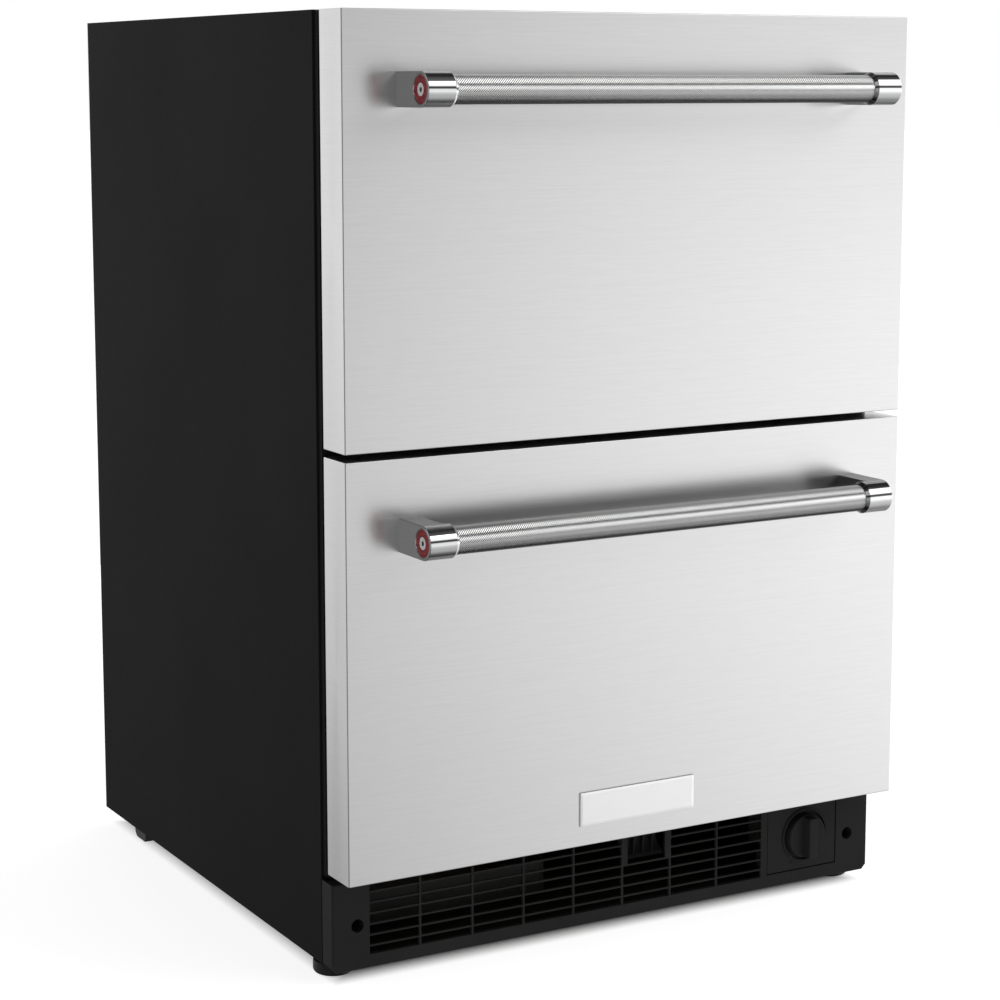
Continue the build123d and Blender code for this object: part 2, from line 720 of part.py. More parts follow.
with BuildPart() as toe_grille:
    outline = [(-half_width, grille_top), (-half_width, grille_bottom + grille_corner),
               (-half_width + grille_corner, grille_bottom),
               (half_width - grille_corner, grille_bottom),
               (half_width, grille_bottom + grille_corner), (half_width, grille_top)]
    with BuildSketch(across(grille_return)) as face_outline:
        with BuildLine():
            Polyline(*outline, close=True)
        make_face()
    extrude(amount=grille_return - grille_front)
    front_rim = toe_grille.faces().sort_by(Axis.Y)[0].outer_wire().edges()
    fillet(front_rim, radius=grille_edge_round)
    with BuildSketch(across(grille_return)):
        offset(face_outline.sketch.face(), amount=-grille_wall, kind=Kind.INTERSECTION)
    extrude(amount=grille_return - grille_front - grille_wall, mode=Mode.SUBTRACT)
    block(-half_width + grille_wall, half_width - grille_wall, grille_lip, grille_return,
          grille_bottom - 1.0, grille_top + 1.0, mode=Mode.SUBTRACT)
    with BuildSketch(across(grille_front + grille_wall)):
        with BuildLine():
            Polyline((slot_left, slot_bottom), (slot_right, slot_bottom), (slot_right, slot_top),
                     (slot_left, slot_top), close=True)
        make_face()
        for number in range(upright_count):
            with Locations((first_upright + number * upright_pitch, (slot_bottom + slot_top) / 2)):
                Rectangle(upright_width, slot_top - slot_bottom, mode=Mode.SUBTRACT)
        for number in range(rail_count):
            with Locations(((slot_left + slot_right) / 2, first_rail + number * rail_pitch)):
                Rectangle(slot_right - slot_left, rail_thickness, mode=Mode.SUBTRACT)
        with Locations(((window_left + window_right) / 2, (window_bottom + slot_top) / 2)):
            Rectangle(window_right - window_left + 2 * window_side, slot_top - window_bottom,
                      mode=Mode.SUBTRACT)
            Rectangle(window_right - window_left, slot_top - window_bottom)
        with Locations(((panel_left + panel_right) / 2, (panel_bottom + panel_top) / 2)):
            Rectangle(panel_right - panel_left, panel_top - panel_bottom)
        with Locations((-grille_screw_x, grille_screw_z), (grille_screw_x, grille_screw_z)):
            Circle(boss_bore_radius)
    extrude(amount=grille_wall, mode=Mode.SUBTRACT)
    with BuildSketch(across(pan_front)):
        with Locations((-grille_screw_x, grille_screw_z), (grille_screw_x, grille_screw_z)):
            Circle(boss_radius)
    extrude(amount=pan_front - grille_front - grille_wall)
    with BuildSketch(across(pan_front - boss_floor)):
        with Locations((-grille_screw_x, grille_screw_z), (grille_screw_x, grille_screw_z)):
            Circle(boss_bore_radius)
    extrude(amount=pan_front - boss_floor - grille_front, mode=Mode.SUBTRACT)
    with BuildSketch(across(pan_front)):
        with Locations((-grille_screw_x, grille_screw_z), (grille_screw_x, grille_screw_z)):
            Circle(boss_hole_radius)
    extrude(amount=boss_floor, mode=Mode.SUBTRACT)
save(toe_grille, "toe_grille")

# Pan-head screws at the bottom of the grille's bosses, into the ears of the base pan, and the
# two hexagon-head screws under the pan's rear corners.
base_screw_x = 286.0
base_screw_depth = 448.0
base_screw_head = 6.7
base_screw_radius = 6.0
grille_screw_head = 3.0
grille_screw_head_radius = 4.5
grille_screw_radius = 1.85
grille_screw_length = 10.0
driver_slot_length = 5.0
driver_slot_width = 1.1
driver_slot_depth = 1.6

with BuildPart() as cabinet_screws:
    for hand in (-1, 1):
        with BuildSketch(across(pan_front - boss_floor)):
            with Locations((hand * grille_screw_x, grille_screw_z)):
                Circle(grille_screw_head_radius)
        extrude(amount=grille_screw_head)
        with BuildSketch(across(pan_front - boss_floor + grille_screw_length)):
            with Locations((hand * grille_screw_x, grille_screw_z)):
                Circle(grille_screw_radius)
        extrude(amount=grille_screw_length)
        with BuildSketch(across(pan_front - boss_floor - grille_screw_head + driver_slot_depth)):
            with Locations((hand * grille_screw_x, grille_screw_z)):
                Rectangle(driver_slot_length, driver_slot_width)
                Rectangle(driver_slot_width, driver_slot_length)
        extrude(amount=driver_slot_depth, mode=Mode.SUBTRACT)
    with BuildSketch(level(cabinet_bottom - base_screw_head)):
        with Locations((0, deep(base_screw_depth))):
            with GridLocations(2 * base_screw_x, 0, 2, 1):
                RegularPolygon(base_screw_radius, 6)
    extrude(amount=base_screw_head)
save(cabinet_screws, "cabinet_screws")

# Ribbed finger scoop in the grille's window: a shell that leans back, with three curved ribs.
scoop_wall = 1.6
scoop_gap = 0.4
scoop_back = 53.0
scoop_front = grille_front + 1.0
scoop_lip_bottom = window_bottom + 4.5
scoop_lip_height = 2.0
scoop_bend_depth = grille_front + 12.0
scoop_bend_height = window_bottom + 10.0
rib_count = 3
rib_pitch = 10.5
first_rib = window_left + 12.0
rib_bottom = window_bottom + 6.0
rib_middle = window_bottom + 13.0
rib_width = 1.6
rib_lean = (-3.0, 1.2, 2.6)   # a rib's sideways place at its bottom, middle and top
rib_front_depth = grille_front + 6.0
rib_bend_depth = grille_front + 9.0
rib_bend_height = window_bottom + 10.5
rib_top_depth = scoop_back - scoop_wall - 6.0

with BuildPart() as grille_scoop:
    with BuildSketch(beside(window_left + scoop_gap)):
        with BuildLine():
            lip = Line((deep(scoop_front), scoop_lip_bottom),
                       (deep(scoop_front), scoop_lip_bottom + scoop_lip_height))
            inner = ThreePointArc(lip @ 1, (deep(scoop_bend_depth), scoop_bend_height),
                                  (deep(scoop_back - scoop_wall), slot_top))
            rim = Line(inner @ 1, (deep(scoop_back), slot_top))
            ThreePointArc(rim @ 1, (deep(scoop_bend_depth + scoop_wall),
                                    scoop_bend_height - scoop_lip_height), lip @ 0)
        make_face()
    extrude(amount=window_right - window_left - 2 * scoop_gap)
    for number in range(rib_count):
        at_bottom, at_middle, at_top = [first_rib + rib_pitch * number + lean for lean in rib_lean]
        with BuildSketch(across(scoop_back)):
            with BuildLine():
                left_edge = ThreePointArc((at_bottom, rib_bottom), (at_middle, rib_middle),
                                          (at_top, slot_top))
                top_edge = Line(left_edge @ 1, (at_top + rib_width, slot_top))
                right_edge = ThreePointArc(top_edge @ 1, (at_middle + rib_width, rib_middle),
                                           (at_bottom + rib_width, rib_bottom))
                Line(right_edge @ 1, left_edge @ 0)
            make_face()
        extrude(amount=scoop_back - rib_front_depth)
    with BuildSketch(beside(window_left + scoop_gap)):
        with BuildLine():
            front_curve = ThreePointArc((deep(scoop_front), scoop_lip_bottom),
                                        (deep(rib_bend_depth), rib_bend_height),
                                        (deep(rib_top_depth), slot_top))
            Polyline(front_curve @ 1, (deep(scoop_back + 1.0), slot_top),
                     (deep(scoop_back + 1.0), window_bottom), (deep(scoop_front), window_bottom),
                     front_curve @ 0)
        make_face()
    extrude(amount=window_right - window_left - 2 * scoop_gap, mode=Mode.INTERSECT)
save(grille_scoop, "grille_scoop")

# ---------------------------------------------------------------- temperature dial
panel_gap = 1.0
panel_face = 35.6
panel_step = grille_front + grille_wall + 0.2   # the panel's rim lies behind the grille's wall
panel_back = 40.0
panel_rim_side = 2.0
panel_rim_top = 0.5
knob_radius = 22.0
knob_face = 29.2
knob_back = 37.2
knob_edge_round = 1.6
fin_root = 30.2
fin_face = 19.2
fin_width = 11.5
fin_radius = 21.2
fin_taper = 3
fin_edge_round = 1.4
ring_radius = 27.3
ring_width = 1.7
ring_height = 1.4
well_floor = 37.8             # bottom of the recess inside the ring
hub_radius = 7.0
hub_clearance = 0.6
hub_back = 46.0
shaft_end = 82.0
mark_angle = 240
mark_place = 31.0             # the mark's distance from the dial's axis
mark_radius = 1.3
mark_height = 0.6
thermostat_front = 64.0
thermostat_back = 98.0
thermostat_half_width = 24.0
thermostat_bottom = 40.0
thermostat_top = 82.0
thermostat_corner = 3.0
thermostat_nose = 8.0         # radius and length of the boss round the shaft
thermostat_bore_depth = 84.0
shaft_clearance = 0.06
plate_half_width = 34.0
plate_front = 68.0
plate_back = 70.0

with BuildPart() as dial_panel:
    panel_middle = ((panel_left + panel_right) / 2, (panel_bottom + panel_top) / 2)
    panel_width = panel_right - panel_left
    panel_height = panel_top - panel_bottom
    with BuildSketch(across(panel_back)):
        with Locations(panel_middle):
            Rectangle(panel_width + 2 * panel_rim_side, panel_height - 2 * panel_rim_top)
    extrude(amount=panel_back - panel_step)
    with BuildSketch(across(panel_step)):
        with Locations(panel_middle):
            Rectangle(panel_width - 2 * panel_gap, panel_height - 2 * panel_gap)
    extrude(amount=panel_step - panel_face)
    with BuildSketch(across(panel_face)):
        with Locations((dial_x, dial_z)):
            Circle(ring_radius)
    extrude(amount=ring_height)
    mark_turn = math.radians(mark_angle)
    with BuildSketch(across(panel_face)):
        with Locations((dial_x + mark_place * math.cos(mark_turn),
                        dial_z + mark_place * math.sin(mark_turn))):
            Circle(mark_radius)
    extrude(amount=mark_height)
    with BuildSketch(across(well_floor)):
        with Locations((dial_x, dial_z)):
            Circle(ring_radius - ring_width)
    extrude(amount=well_floor - panel_face + ring_height, mode=Mode.SUBTRACT)
    with BuildSketch(across(panel_back)):
        with Locations((dial_x, dial_z)):
            Circle(hub_radius + hub_clearance)
    extrude(amount=panel_back - panel_face, mode=Mode.SUBTRACT)
save(dial_panel, "dial_panel")

with BuildPart() as dial_knob:
    with BuildSketch(across(knob_back)):
        with Locations((dial_x, dial_z)):
            Circle(knob_radius)
    extrude(amount=knob_back - knob_face)
    fillet(dial_knob.edges().filter_by(GeomType.CIRCLE).sort_by(Axis.Y)[0], radius=knob_edge_round)
    with BuildSketch(across(fin_root)):
        with Locations((dial_x, dial_z)):
            Circle(fin_radius)
            Rectangle(fin_width, 2 * knob_radius, mode=Mode.INTERSECT)
    extrude(amount=fin_root - fin_face, taper=fin_taper)
    fillet(dial_knob.faces().sort_by(Axis.Y)[0].edges(), radius=fin_edge_round)
    with BuildSketch(across(hub_back)):
        with Locations((dial_x, dial_z)):
            Circle(hub_radius)
    extrude(amount=hub_back - knob_back)
    with BuildSketch(across(shaft_end)):
        with Locations((dial_x, dial_z)):
            Circle(dial_shaft_radius)
    extrude(amount=shaft_end - hub_back + 1.0)
save(dial_knob, "dial_knob")

with BuildPart() as thermostat:
    block(dial_x - thermostat_half_width, dial_x + thermostat_half_width, thermostat_front,
          thermostat_back, thermostat_bottom, thermostat_top)
    fillet(thermostat.edges().filter_by(Axis.Y), radius=thermostat_corner)
    with BuildSketch(across(thermostat_front)):
        with Locations((dial_x, dial_z)):
            Circle(thermostat_nose)
    extrude(amount=thermostat_nose)
    with BuildSketch(across(thermostat_bore_depth)):
        with Locations((dial_x, dial_z)):
            Circle(dial_shaft_radius + shaft_clearance)
    extrude(amount=thermostat_bore_depth - thermostat_front + thermostat_nose, mode=Mode.SUBTRACT)
    block(dial_x - plate_half_width, dial_x + plate_half_width, plate_front, plate_back, pan_top,
          thermostat_bottom)
save(thermostat, "thermostat")

# ---------------------------------------------------------------- feet
foot_pad_height = 12.5
foot_stem_top = 44.0
foot_base_round = 4.5
foot_top_round = 1.5
foot_collar_radius = 10.0
foot_collar_gap = 0.5         # between the collar and the base pan


def levelling_foot(hand):
    """Round foot with a hexagon collar and a stem that screws into the base pan."""
    with BuildPart() as foot:
        with Locations((hand * foot_x, deep(foot_depth), 0)):
            Cylinder(foot_radius, foot_pad_height, align=(Align.CENTER, Align.CENTER, Align.MIN))
        fillet(foot.edges().filter_by(GeomType.CIRCLE).sort_by(Axis.Z)[0], radius=foot_base_round)
        fillet(foot.edges().filter_by(GeomType.CIRCLE).sort_by(Axis.Z)[-1], radius=foot_top_round)
        with BuildSketch(level(foot_pad_height)):
            with Locations((hand * foot_x, deep(foot_depth))):
                RegularPolygon(foot_collar_radius, 6)
        extrude(amount=cabinet_bottom - foot_pad_height - foot_collar_gap)
        with BuildSketch(level(foot_pad_height)):
            with Locations((hand * foot_x, deep(foot_depth))):
                Circle(foot_stem_radius)
        extrude(amount=foot_stem_top - foot_pad_height)
    return foot


for hand, side_name in ((-1, "left"), (1, "right")):
    save(levelling_foot(hand), f"foot_{side_name}")

# Fixed rear glides under the base pan: the rear bottom edge is rounded for pushing it back.
glide_inner = 271.6
glide_outer = 295.6
glide_front = 515.0
glide_back = 545.0
glide_rear_round = 8.0
glide_front_round = 2.0

with BuildPart() as rear_glides:
    for hand in (-1, 1):
        block(hand * glide_inner, hand * glide_outer, glide_front, glide_back, 0, cabinet_bottom)
    low_edges = rear_glides.edges().filter_by(Axis.X).group_by(Axis.Z)[0]
    fillet(low_edges.sort_by(Axis.Y)[2:], radius=glide_rear_round)
    fillet(low_edges.sort_by(Axis.Y)[:2], radius=glide_front_round)
save(rear_glides, "rear_glides")

# ---------------------------------------------------------------- drawer slides
slide_gap = 1.4
outer_half = 22.5
middle_half = 17.5
inner_half = 12.5
outer_channel_inside = 250.0
middle_channel_inside = 249.5
drawer_member_gap = 0.5
middle_start = 4.0            # the middle member against the cabinet member, at both ends
middle_end = 12.0
drawer_start = 2.0
drawer_end = 4.0


def slide_pair(height, web_outside, flange_inside, half, depth0, depth1, web_at_wall=True):
    """A channel on each side: web towards the wall or the drawer, flanges above and below."""
    web = web_outside - slide_sheet if web_at_wall else flange_inside
    with BuildPart() as pair:
        for hand in (-1, 1):
            block(hand * web, hand * (web + slide_sheet), depth0, depth1, height - half, height + half)
            for edge in (height - half, height + half - slide_sheet):
                block(hand * flange_inside, hand * web_outside, depth0, depth1, edge, edge + slide_sheet)
    return pair


middle_outside = liner_half_width - slide_sheet - slide_gap
drawer_outside = middle_outside - slide_sheet - slide_gap - drawer_member_gap

for name, height in (("upper", upper_slide_height), ("lower", lower_slide_height)):
    slide_end = slide_start + slide_length
    save(slide_pair(height, liner_half_width, outer_channel_inside, outer_half, slide_start,
                    slide_end), f"{name}_cabinet_slides")
    save(slide_pair(height, middle_outside, middle_channel_inside, middle_half,
                    slide_start + middle_start, slide_end - middle_end), f"{name}_middle_slides")
    save(slide_pair(height, drawer_outside, box_half_width, inner_half, slide_start - drawer_start,
                    slide_end - drawer_end, web_at_wall=False), f"{name}_drawer_slides")

# ---------------------------------------------------------------- drawers
core_back = 40.4
front_edge_round = 0.9
plug_back = box_front
plug_edge_round = 3.0
plug_half_width = 255.0
plug_margin = 5.0
gasket_outside = 20.0
gasket_inside = 6.0
gasket_outer_corner = 10.0
gasket_inner_corner = 4.0
rim_corner = 3.0
box_corner = 8.0
handle_screw_head = 6.0
handle_screw_head_radius = 5.0
handle_screw_radius = 2.4
handle_screw_reach = 16.0     # into the post
handle_hole_depth = 18.0
screw_clearance = 0.1
screw_seat_gap = 1.0          # room behind a screw's head
ferrule_chamfer = (3.2, 2.2)
end_edge_round = 0.7
bar_fit = 0.02
bar_end_gap = 0.1
bar_chamfer = 0.8
medallion_fit = 0.05
medallion_radius = 13.2
medallion_thickness = 1.5
post_x = handle_half_length - handle_post_width / 2


def front_skin(top, bottom, bar_z):
    """Stainless pan with folded sides, open at the back, with two handle screw holes."""
    with BuildPart() as skin:
        block(-half_width, half_width, 0, front_thickness, bottom, top)
        fillet(skin.edges().filter_by(Axis.Y), radius=front_edge_round)
        fillet(skin.faces().sort_by(Axis.Y)[0].edges(), radius=front_edge_round)
        block(-half_width + front_sheet, half_width - front_sheet, front_sheet, front_thickness,
              bottom + front_sheet, top - front_sheet, mode=Mode.SUBTRACT)
        with BuildSketch(across(front_sheet)):
            with Locations((-post_x, bar_z), (post_x, bar_z)):
                Circle(handle_screw_radius + screw_clearance)
        extrude(amount=front_sheet, mode=Mode.SUBTRACT)
    return skin


def front_core(top, bottom, floor, ceiling, bar_z):
    """Foam that fills the pan and the inner panel's plug, with pockets for the screw heads."""
    with BuildPart() as core:
        block(-half_width + front_sheet, half_width - front_sheet, front_sheet, core_back,
              bottom + front_sheet, top - front_sheet)
        block(-plug_half_width + liner_wall, plug_half_width - liner_wall, core_back,
              plug_back - liner_wall, floor + plug_margin + liner_wall,
              ceiling - plug_margin - liner_wall)
        with BuildSketch(across(front_sheet + handle_screw_head)):
            with Locations((-post_x, bar_z), (post_x, bar_z)):
                Circle(handle_screw_head_radius + screw_clearance)
        extrude(amount=handle_screw_head, mode=Mode.SUBTRACT)
    return core


def inner_panel(top, bottom, floor, ceiling):
    """Moulded back of the drawer front, with a raised plug that fits into the opening."""
    with BuildPart() as panel:
        block(-half_width + front_sheet, half_width - front_sheet, core_back, front_thickness,
              bottom + front_sheet, top - front_sheet)
        block(-plug_half_width, plug_half_width, front_thickness, plug_back, floor + plug_margin,
              ceiling - plug_margin)
        fillet(panel.faces().sort_by(Axis.Y)[-1].edges(), radius=plug_edge_round)
        block(-plug_half_width + liner_wall, plug_half_width - liner_wall, core_back,
              plug_back - liner_wall, floor + plug_margin + liner_wall,
              ceiling - plug_margin - liner_wall, mode=Mode.SUBTRACT)
    return panel


def gasket(floor, ceiling):
    """Magnetic seal: a frame that fills the space between the panel and the front frame."""
    middle = (floor + ceiling) / 2
    with BuildPart() as seal:
        with BuildSketch(across(frame_front)):
            with Locations((0, middle)):
                RectangleRounded(2 * (liner_half_width + gasket_outside),
                                 ceiling - floor + 2 * gasket_outside, gasket_outer_corner)
                RectangleRounded(2 * (liner_half_width + gasket_inside),
                                 ceiling - floor + 2 * gasket_inside, gasket_inner_corner,
                                 mode=Mode.SUBTRACT)
        extrude(amount=frame_front - front_thickness)
    return seal


def rim_lip(box, top, back):
    """Outward lip round the top of a drawer box."""
    outside = box_half_width + box_rim
    block(-outside, outside, box_front, back, top - box_wall, top)
    block(-box_half_width + box_wall, box_half_width - box_wall, box_front + box_wall,
          back - box_rim - box_wall, top - box_wall, top, mode=Mode.SUBTRACT)
    fillet(box.edges().filter_by(Axis.Z).filter_by(lambda edge: edge.length < box_wall + 0.1)
           .sort_by(Axis.Y)[-2:], radius=rim_corner)


def drawer_box(outline, back):
    """Open-topped box, drawn as its side view and hollowed through its top."""
    top = max(height for depth, height in outline)
    with BuildPart() as box:
        with BuildSketch(beside(-box_half_width)):
            with BuildLine():
                Polyline(*[(deep(depth), height) for depth, height in outline], close=True)
            make_face()
        extrude(amount=2 * box_half_width)
        fillet(box.faces().sort_by(Axis.Z)[0].edges().filter_by(Axis.Y), radius=box_corner)
        offset(amount=-box_wall, openings=box.faces().sort_by(Axis.Z)[-1], mode=Mode.REPLACE)
        rim_lip(box, top, back)
    return box


def handle_end(hand, bar_z):
    """Post and ferrule in one casting: flat outer side, round nose, bored for the bar."""
    outer = hand * handle_half_length
    shoulder = hand * (handle_half_length - handle_end_length)
    post_inner = hand * (handle_half_length - handle_post_width)
    with BuildPart() as end:
        with BuildSketch(beside(min(outer, post_inner))):
            with Locations((deep(-handle_stand_off / 2), bar_z)):
                Rectangle(handle_stand_off, 2 * handle_end_radius)
            with Locations((deep(-handle_stand_off), bar_z)):
                Circle(handle_end_radius)
        extrude(amount=handle_post_width)
        with BuildSketch(beside(min(outer, shoulder))):
            with Locations((deep(-handle_stand_off), bar_z)):
                Circle(handle_end_radius)
        extrude(amount=handle_end_length)
        nose = end.edges().filter_by(GeomType.CIRCLE).sort_by_distance(
            (shoulder, deep(-handle_reach), bar_z))[0]
        chamfer(nose, length=ferrule_chamfer[0], length2=ferrule_chamfer[1])
        fillet(end.faces().sort_by_distance((outer, deep(-handle_stand_off), bar_z))[0]
               .edges().filter_by(lambda edge: edge.center().Y < front_y - 0.5),
               radius=end_edge_round)
        with BuildSketch(beside(min(shoulder, shoulder + hand * handle_spigot))):
            with Locations((deep(-handle_stand_off), bar_z)):
                Circle(handle_bar_radius + bar_fit)
        extrude(amount=handle_spigot, mode=Mode.SUBTRACT)
        with BuildSketch(beside(min(outer, outer - hand * medallion_thickness))):
            with Locations((deep(-handle_stand_off), bar_z)):
                Circle(medallion_radius + medallion_fit)
        extrude(amount=medallion_thickness, mode=Mode.SUBTRACT)
        with BuildSketch(across(0)):
            with Locations((hand * post_x, bar_z)):
                Circle(handle_screw_radius + screw_clearance)
        extrude(amount=handle_hole_depth, mode=Mode.SUBTRACT)
    return end


def handle_bar(bar_z):
    """Round grip bar between the two ends."""
    with BuildPart() as bar:
        half = handle_half_length - handle_end_length + handle_spigot - bar_end_gap
        with BuildSketch(beside(-half)):
            with Locations((deep(-handle_stand_off), bar_z)):
                Circle(handle_bar_radius)
        extrude(amount=2 * half)
        chamfer(bar.edges().filter_by(GeomType.CIRCLE), length=bar_chamfer)
    return bar


def handle_medallions(bar_z):
    """Plain enamel discs let into the outer faces of both handle ends."""
    with BuildPart() as discs:
        for hand in (-1, 1):
            outer = hand * handle_half_length
            with BuildSketch(beside(min(outer, outer - hand * medallion_thickness))):
                with Locations((deep(-handle_stand_off), bar_z)):
                    Circle(medallion_radius)
            extrude(amount=medallion_thickness)
    return discs


def handle_screws(bar_z):
    """One screw into each post, its head against the back of the stainless skin."""
    with BuildPart() as screws:
        with BuildSketch(across(front_sheet + handle_screw_head - screw_seat_gap)):
            with Locations((-post_x, bar_z), (post_x, bar_z)):
                Circle(handle_screw_head_radius)
        extrude(amount=handle_screw_head - screw_seat_gap)
        with BuildSketch(across(front_sheet)):
            with Locations((-post_x, bar_z), (post_x, bar_z)):
                Circle(handle_screw_radius)
        extrude(amount=front_sheet + handle_screw_reach)
    return screws


upper_box_bottom = 520.0
upper_box_top = 745.0
lower_box_bottom = 140.0
lower_box_top = 410.0
lower_box_step = 337.0        # depth of the riser over the machine space
lower_box_step_top = 335.0

upper_outline = [(box_front, upper_box_bottom), (box_back, upper_box_bottom),
                 (box_back, upper_box_top), (box_front, upper_box_top)]
lower_outline = [(box_front, lower_box_bottom), (lower_box_step, lower_box_bottom),
                 (lower_box_step, lower_box_step_top), (box_back, lower_box_step_top),
                 (box_back, lower_box_top), (box_front, lower_box_top)]

for name, top, bottom, floor, ceiling, outline in (
        ("upper", upper_front_top, upper_front_bottom, upper_floor, upper_ceiling, upper_outline),
        ("lower", lower_front_top, lower_front_bottom, lower_floor, lower_ceiling, lower_outline)):
    bar_z = top - handle_below_top
    save(front_skin(top, bottom, bar_z), f"{name}_front_skin")
    save(front_core(top, bottom, floor, ceiling, bar_z), f"{name}_front_core")
    save(inner_panel(top, bottom, floor, ceiling), f"{name}_inner_panel")
    save(gasket(floor, ceiling), f"{name}_gasket")
    save(drawer_box(outline, box_back + box_rim), f"{name}_drawer_box")
    save(handle_bar(bar_z), f"{name}_handle_bar")
    save(handle_end(-1, bar_z), f"{name}_handle_end_left")
    save(handle_end(1, bar_z), f"{name}_handle_end_right")
    save(handle_medallions(bar_z), f"{name}_handle_medallions")
    save(handle_screws(bar_z), f"{name}_handle_screws")

# Blank name plate on the lower drawer, its face bevelled all round.
badge_half_width = 63.4
badge_bottom = 122.6
badge_top = 154.9
badge_edge = 1.6              # thickness at its sides
badge_thickness = 1.8
badge_bevel = 2.2             # width of the shallow bevel round its face

with BuildPart() as badge:
    block(-badge_half_width, badge_half_width, -badge_edge, 0, badge_bottom, badge_top)
    for depth, inset in ((-badge_edge, 0), (-badge_thickness, badge_bevel)):
        with BuildSketch(across(depth)):
            with Locations((0, (badge_bottom + badge_top) / 2)):
                Rectangle(2 * (badge_half_width - inset), badge_top - badge_bottom - 2 * inset)
    loft()
save(badge, "badge")
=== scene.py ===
import json
import math

import bmesh
import bpy
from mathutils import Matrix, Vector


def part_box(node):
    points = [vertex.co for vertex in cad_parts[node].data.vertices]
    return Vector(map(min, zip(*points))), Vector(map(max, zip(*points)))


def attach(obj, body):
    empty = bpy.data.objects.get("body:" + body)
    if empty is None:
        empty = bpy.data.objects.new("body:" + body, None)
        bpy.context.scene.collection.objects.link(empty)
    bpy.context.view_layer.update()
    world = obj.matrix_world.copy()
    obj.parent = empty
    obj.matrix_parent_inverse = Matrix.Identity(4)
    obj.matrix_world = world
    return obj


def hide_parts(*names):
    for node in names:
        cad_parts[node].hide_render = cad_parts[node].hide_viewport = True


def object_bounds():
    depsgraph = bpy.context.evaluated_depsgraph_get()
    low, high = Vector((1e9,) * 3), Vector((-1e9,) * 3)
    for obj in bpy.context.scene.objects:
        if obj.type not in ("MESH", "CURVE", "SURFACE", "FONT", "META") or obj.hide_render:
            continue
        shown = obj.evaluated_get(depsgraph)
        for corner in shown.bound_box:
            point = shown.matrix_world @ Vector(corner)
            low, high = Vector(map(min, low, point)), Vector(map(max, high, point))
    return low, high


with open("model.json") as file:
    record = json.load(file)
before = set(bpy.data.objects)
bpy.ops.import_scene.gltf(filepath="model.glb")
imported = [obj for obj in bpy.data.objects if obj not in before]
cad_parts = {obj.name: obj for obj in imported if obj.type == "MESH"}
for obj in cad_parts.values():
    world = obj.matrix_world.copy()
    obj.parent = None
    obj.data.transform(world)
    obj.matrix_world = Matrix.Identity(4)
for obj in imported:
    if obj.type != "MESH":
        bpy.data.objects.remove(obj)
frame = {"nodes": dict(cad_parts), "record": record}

# The under-counter refrigerator's looks: materials, the pieces that need finer shapes than the CAD
# has, the studio and the camera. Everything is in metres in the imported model's frame.

MM = 0.001
CAD_LOW, CAD_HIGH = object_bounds()
LEVELS = ("upper", "lower")

# Handle: a knurled bar between two chrome ends, each with a medallion in its outer face.
BAR_RADIUS = 12.7 * MM
KNURL_DEPTH = 0.22 * MM
KNURL_AROUND = 72
KNURL_STEP = 1.11 * MM
NECK_RADIUS = 12.2 * MM
NECK_LENGTH = 0.5 * MM

# Camera: from the front left and a little above; angles in degrees, lens in millimetres.
CAMERA_PLACE = (-1.2035, -2.1335, 0.8101)
CAMERA_PITCH = 8.19
CAMERA_YAW = 29.61
CAMERA_LENS = 86.84
CAMERA_SHIFT = -0.07

# The one lamp: a square soft box at the front right, in metres and watts.
KEY_PLACE = (1.25, -1.85, 2.05)
KEY_SIZE = 0.8
KEY_POWER = 3

# Floor: a disc wide enough to have no edge in sight.
FLOOR_RADIUS = 40
FLOOR_POINTS = 96
FLOOR_GLOW = 0.8
# Painted shadow: the floor's glow is cut out under the cabinet and fades back in over this width.
SHADE_EDGE = 0.03   # width of the fade from the cabinet's shade to the open floor


# ---------------------------------------------------------------- node trees


class Tree:
    """Short calls that add nodes to one node tree."""

    def __init__(self, tree):
        self.tree = tree
        self.nodes = tree.nodes

    def add(self, kind, **settings):
        """A new node with some of its settings."""
        node = self.nodes.new(kind)
        for name, value in settings.items():
            setattr(node, name, value)
        return node

    def put(self, socket, value):
        """Links an output to the socket, or sets a plain value on it."""
        if isinstance(value, bpy.types.NodeSocket):
            self.tree.links.new(value, socket)
        else:
            socket.default_value = value

    def math(self, operation, first, second=0.0):
        """The result of one sum; an operation on one number leaves second out."""
        node = self.add("ShaderNodeMath", operation=operation)
        self.put(node.inputs[0], first)
        self.put(node.inputs[1], second)
        return node.outputs[0]

    def span(self, value, low, high, out_low=0.0, out_high=1.0):
        """value from low..high, carried over to out_low..out_high and kept inside."""
        node = self.add("ShaderNodeMapRange")
        for socket, number in zip(node.inputs, (value, low, high, out_low, out_high)):
            self.put(socket, number)
        return node.outputs[0]

    def ramp(self, value, low, high, stops, smooth=False):
        """A grey level for value, from (value, level) stops between low and high."""
        node = self.add("ShaderNodeValToRGB")
        node.color_ramp.interpolation = "EASE" if smooth else "LINEAR"
        self.put(node.inputs[0], self.span(value, low, high))
        elements = node.color_ramp.elements
        while len(elements) < len(stops):
            elements.new(0.5)
        for element, (place, level) in zip(elements, stops):
            element.position = (place - low) / (high - low)
            element.color = (level, level, level, 1)
        return node.outputs[0]

    def mix(self, factor, first, second):
        """A colour from first to second; sockets 6, 7 and 2 are the mix node's colour ones."""
        node = self.add("ShaderNodeMix", data_type="RGBA")
        self.put(node.inputs[0], factor)
        self.put(node.inputs[6], first)
        self.put(node.inputs[7], second)
        return node.outputs[2]


def grey(level, tint=0.0):
    """A nearly neutral colour; tint above 0 is bluer."""
    return (level * (1 - tint), level, level * (1 + tint), 1)


